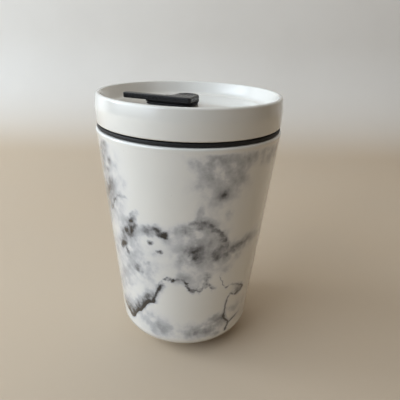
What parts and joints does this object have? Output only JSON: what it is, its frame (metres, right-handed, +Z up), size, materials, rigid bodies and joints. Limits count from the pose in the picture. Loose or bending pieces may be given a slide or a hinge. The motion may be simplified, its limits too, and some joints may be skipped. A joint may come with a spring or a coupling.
{
  "type": "insulated travel mug",
  "caption": "Double-walled porcelain travel mug, marbled outside, with a lift-off lid, a silicone seal and a swinging shutter over the drinking hole.",
  "frame": {"origin": "middle of the foot, on the surface that the mug stands on", "axes": "+Z up through the middle of the lid; the lever's tip points to -X and a little to +Y"},
  "size_m": [0.0842, 0.0842, 0.1224],
  "materials": {
    "marbled_porcelain": "white glaze over a smoky grey marble decor, glossy",
    "white_porcelain": "plain ivory-white glaze, glossy",
    "charcoal_silicone": "satin dark grey silicone",
    "white_silicone": "satin white silicone",
    "charcoal_plastic": "fine-grained satin moulding",
    "natural_plastic": "smooth uncoloured moulding",
    "steel": "stainless, turned"
  },
  "bodies": {
    "cup": {"outer_shell": "marbled_porcelain", "inner_cup": "white_porcelain", "rim_bond": "white_silicone", "base_cushion": "white_silicone", "base_plug": "white_silicone"},
    "lid": {"lid_shell": "white_porcelain", "lid_seal": "charcoal_silicone", "pivot_bush": "natural_plastic"},
    "shutter": {"lever": "charcoal_plastic", "shutter_gasket": "charcoal_silicone", "pivot_o_ring": "charcoal_silicone", "drive_washer": "natural_plastic", "spring_washer": "steel", "pivot_screw": "steel", "screw_cap": "natural_plastic"}
  },
  "joints": [
    {"name": "lid_lift", "type": "slide", "parent": "cup", "child": "lid", "axis": [0, 0, 1], "range_m": [0, 0.04]},
    {"name": "shutter_swing", "type": "hinge", "parent": "lid", "child": "shutter", "pos_m": [-0.0012, 0.0018, 0.1164], "axis": [0, 0, -1], "range_deg": [0, 120]}
  ]
}
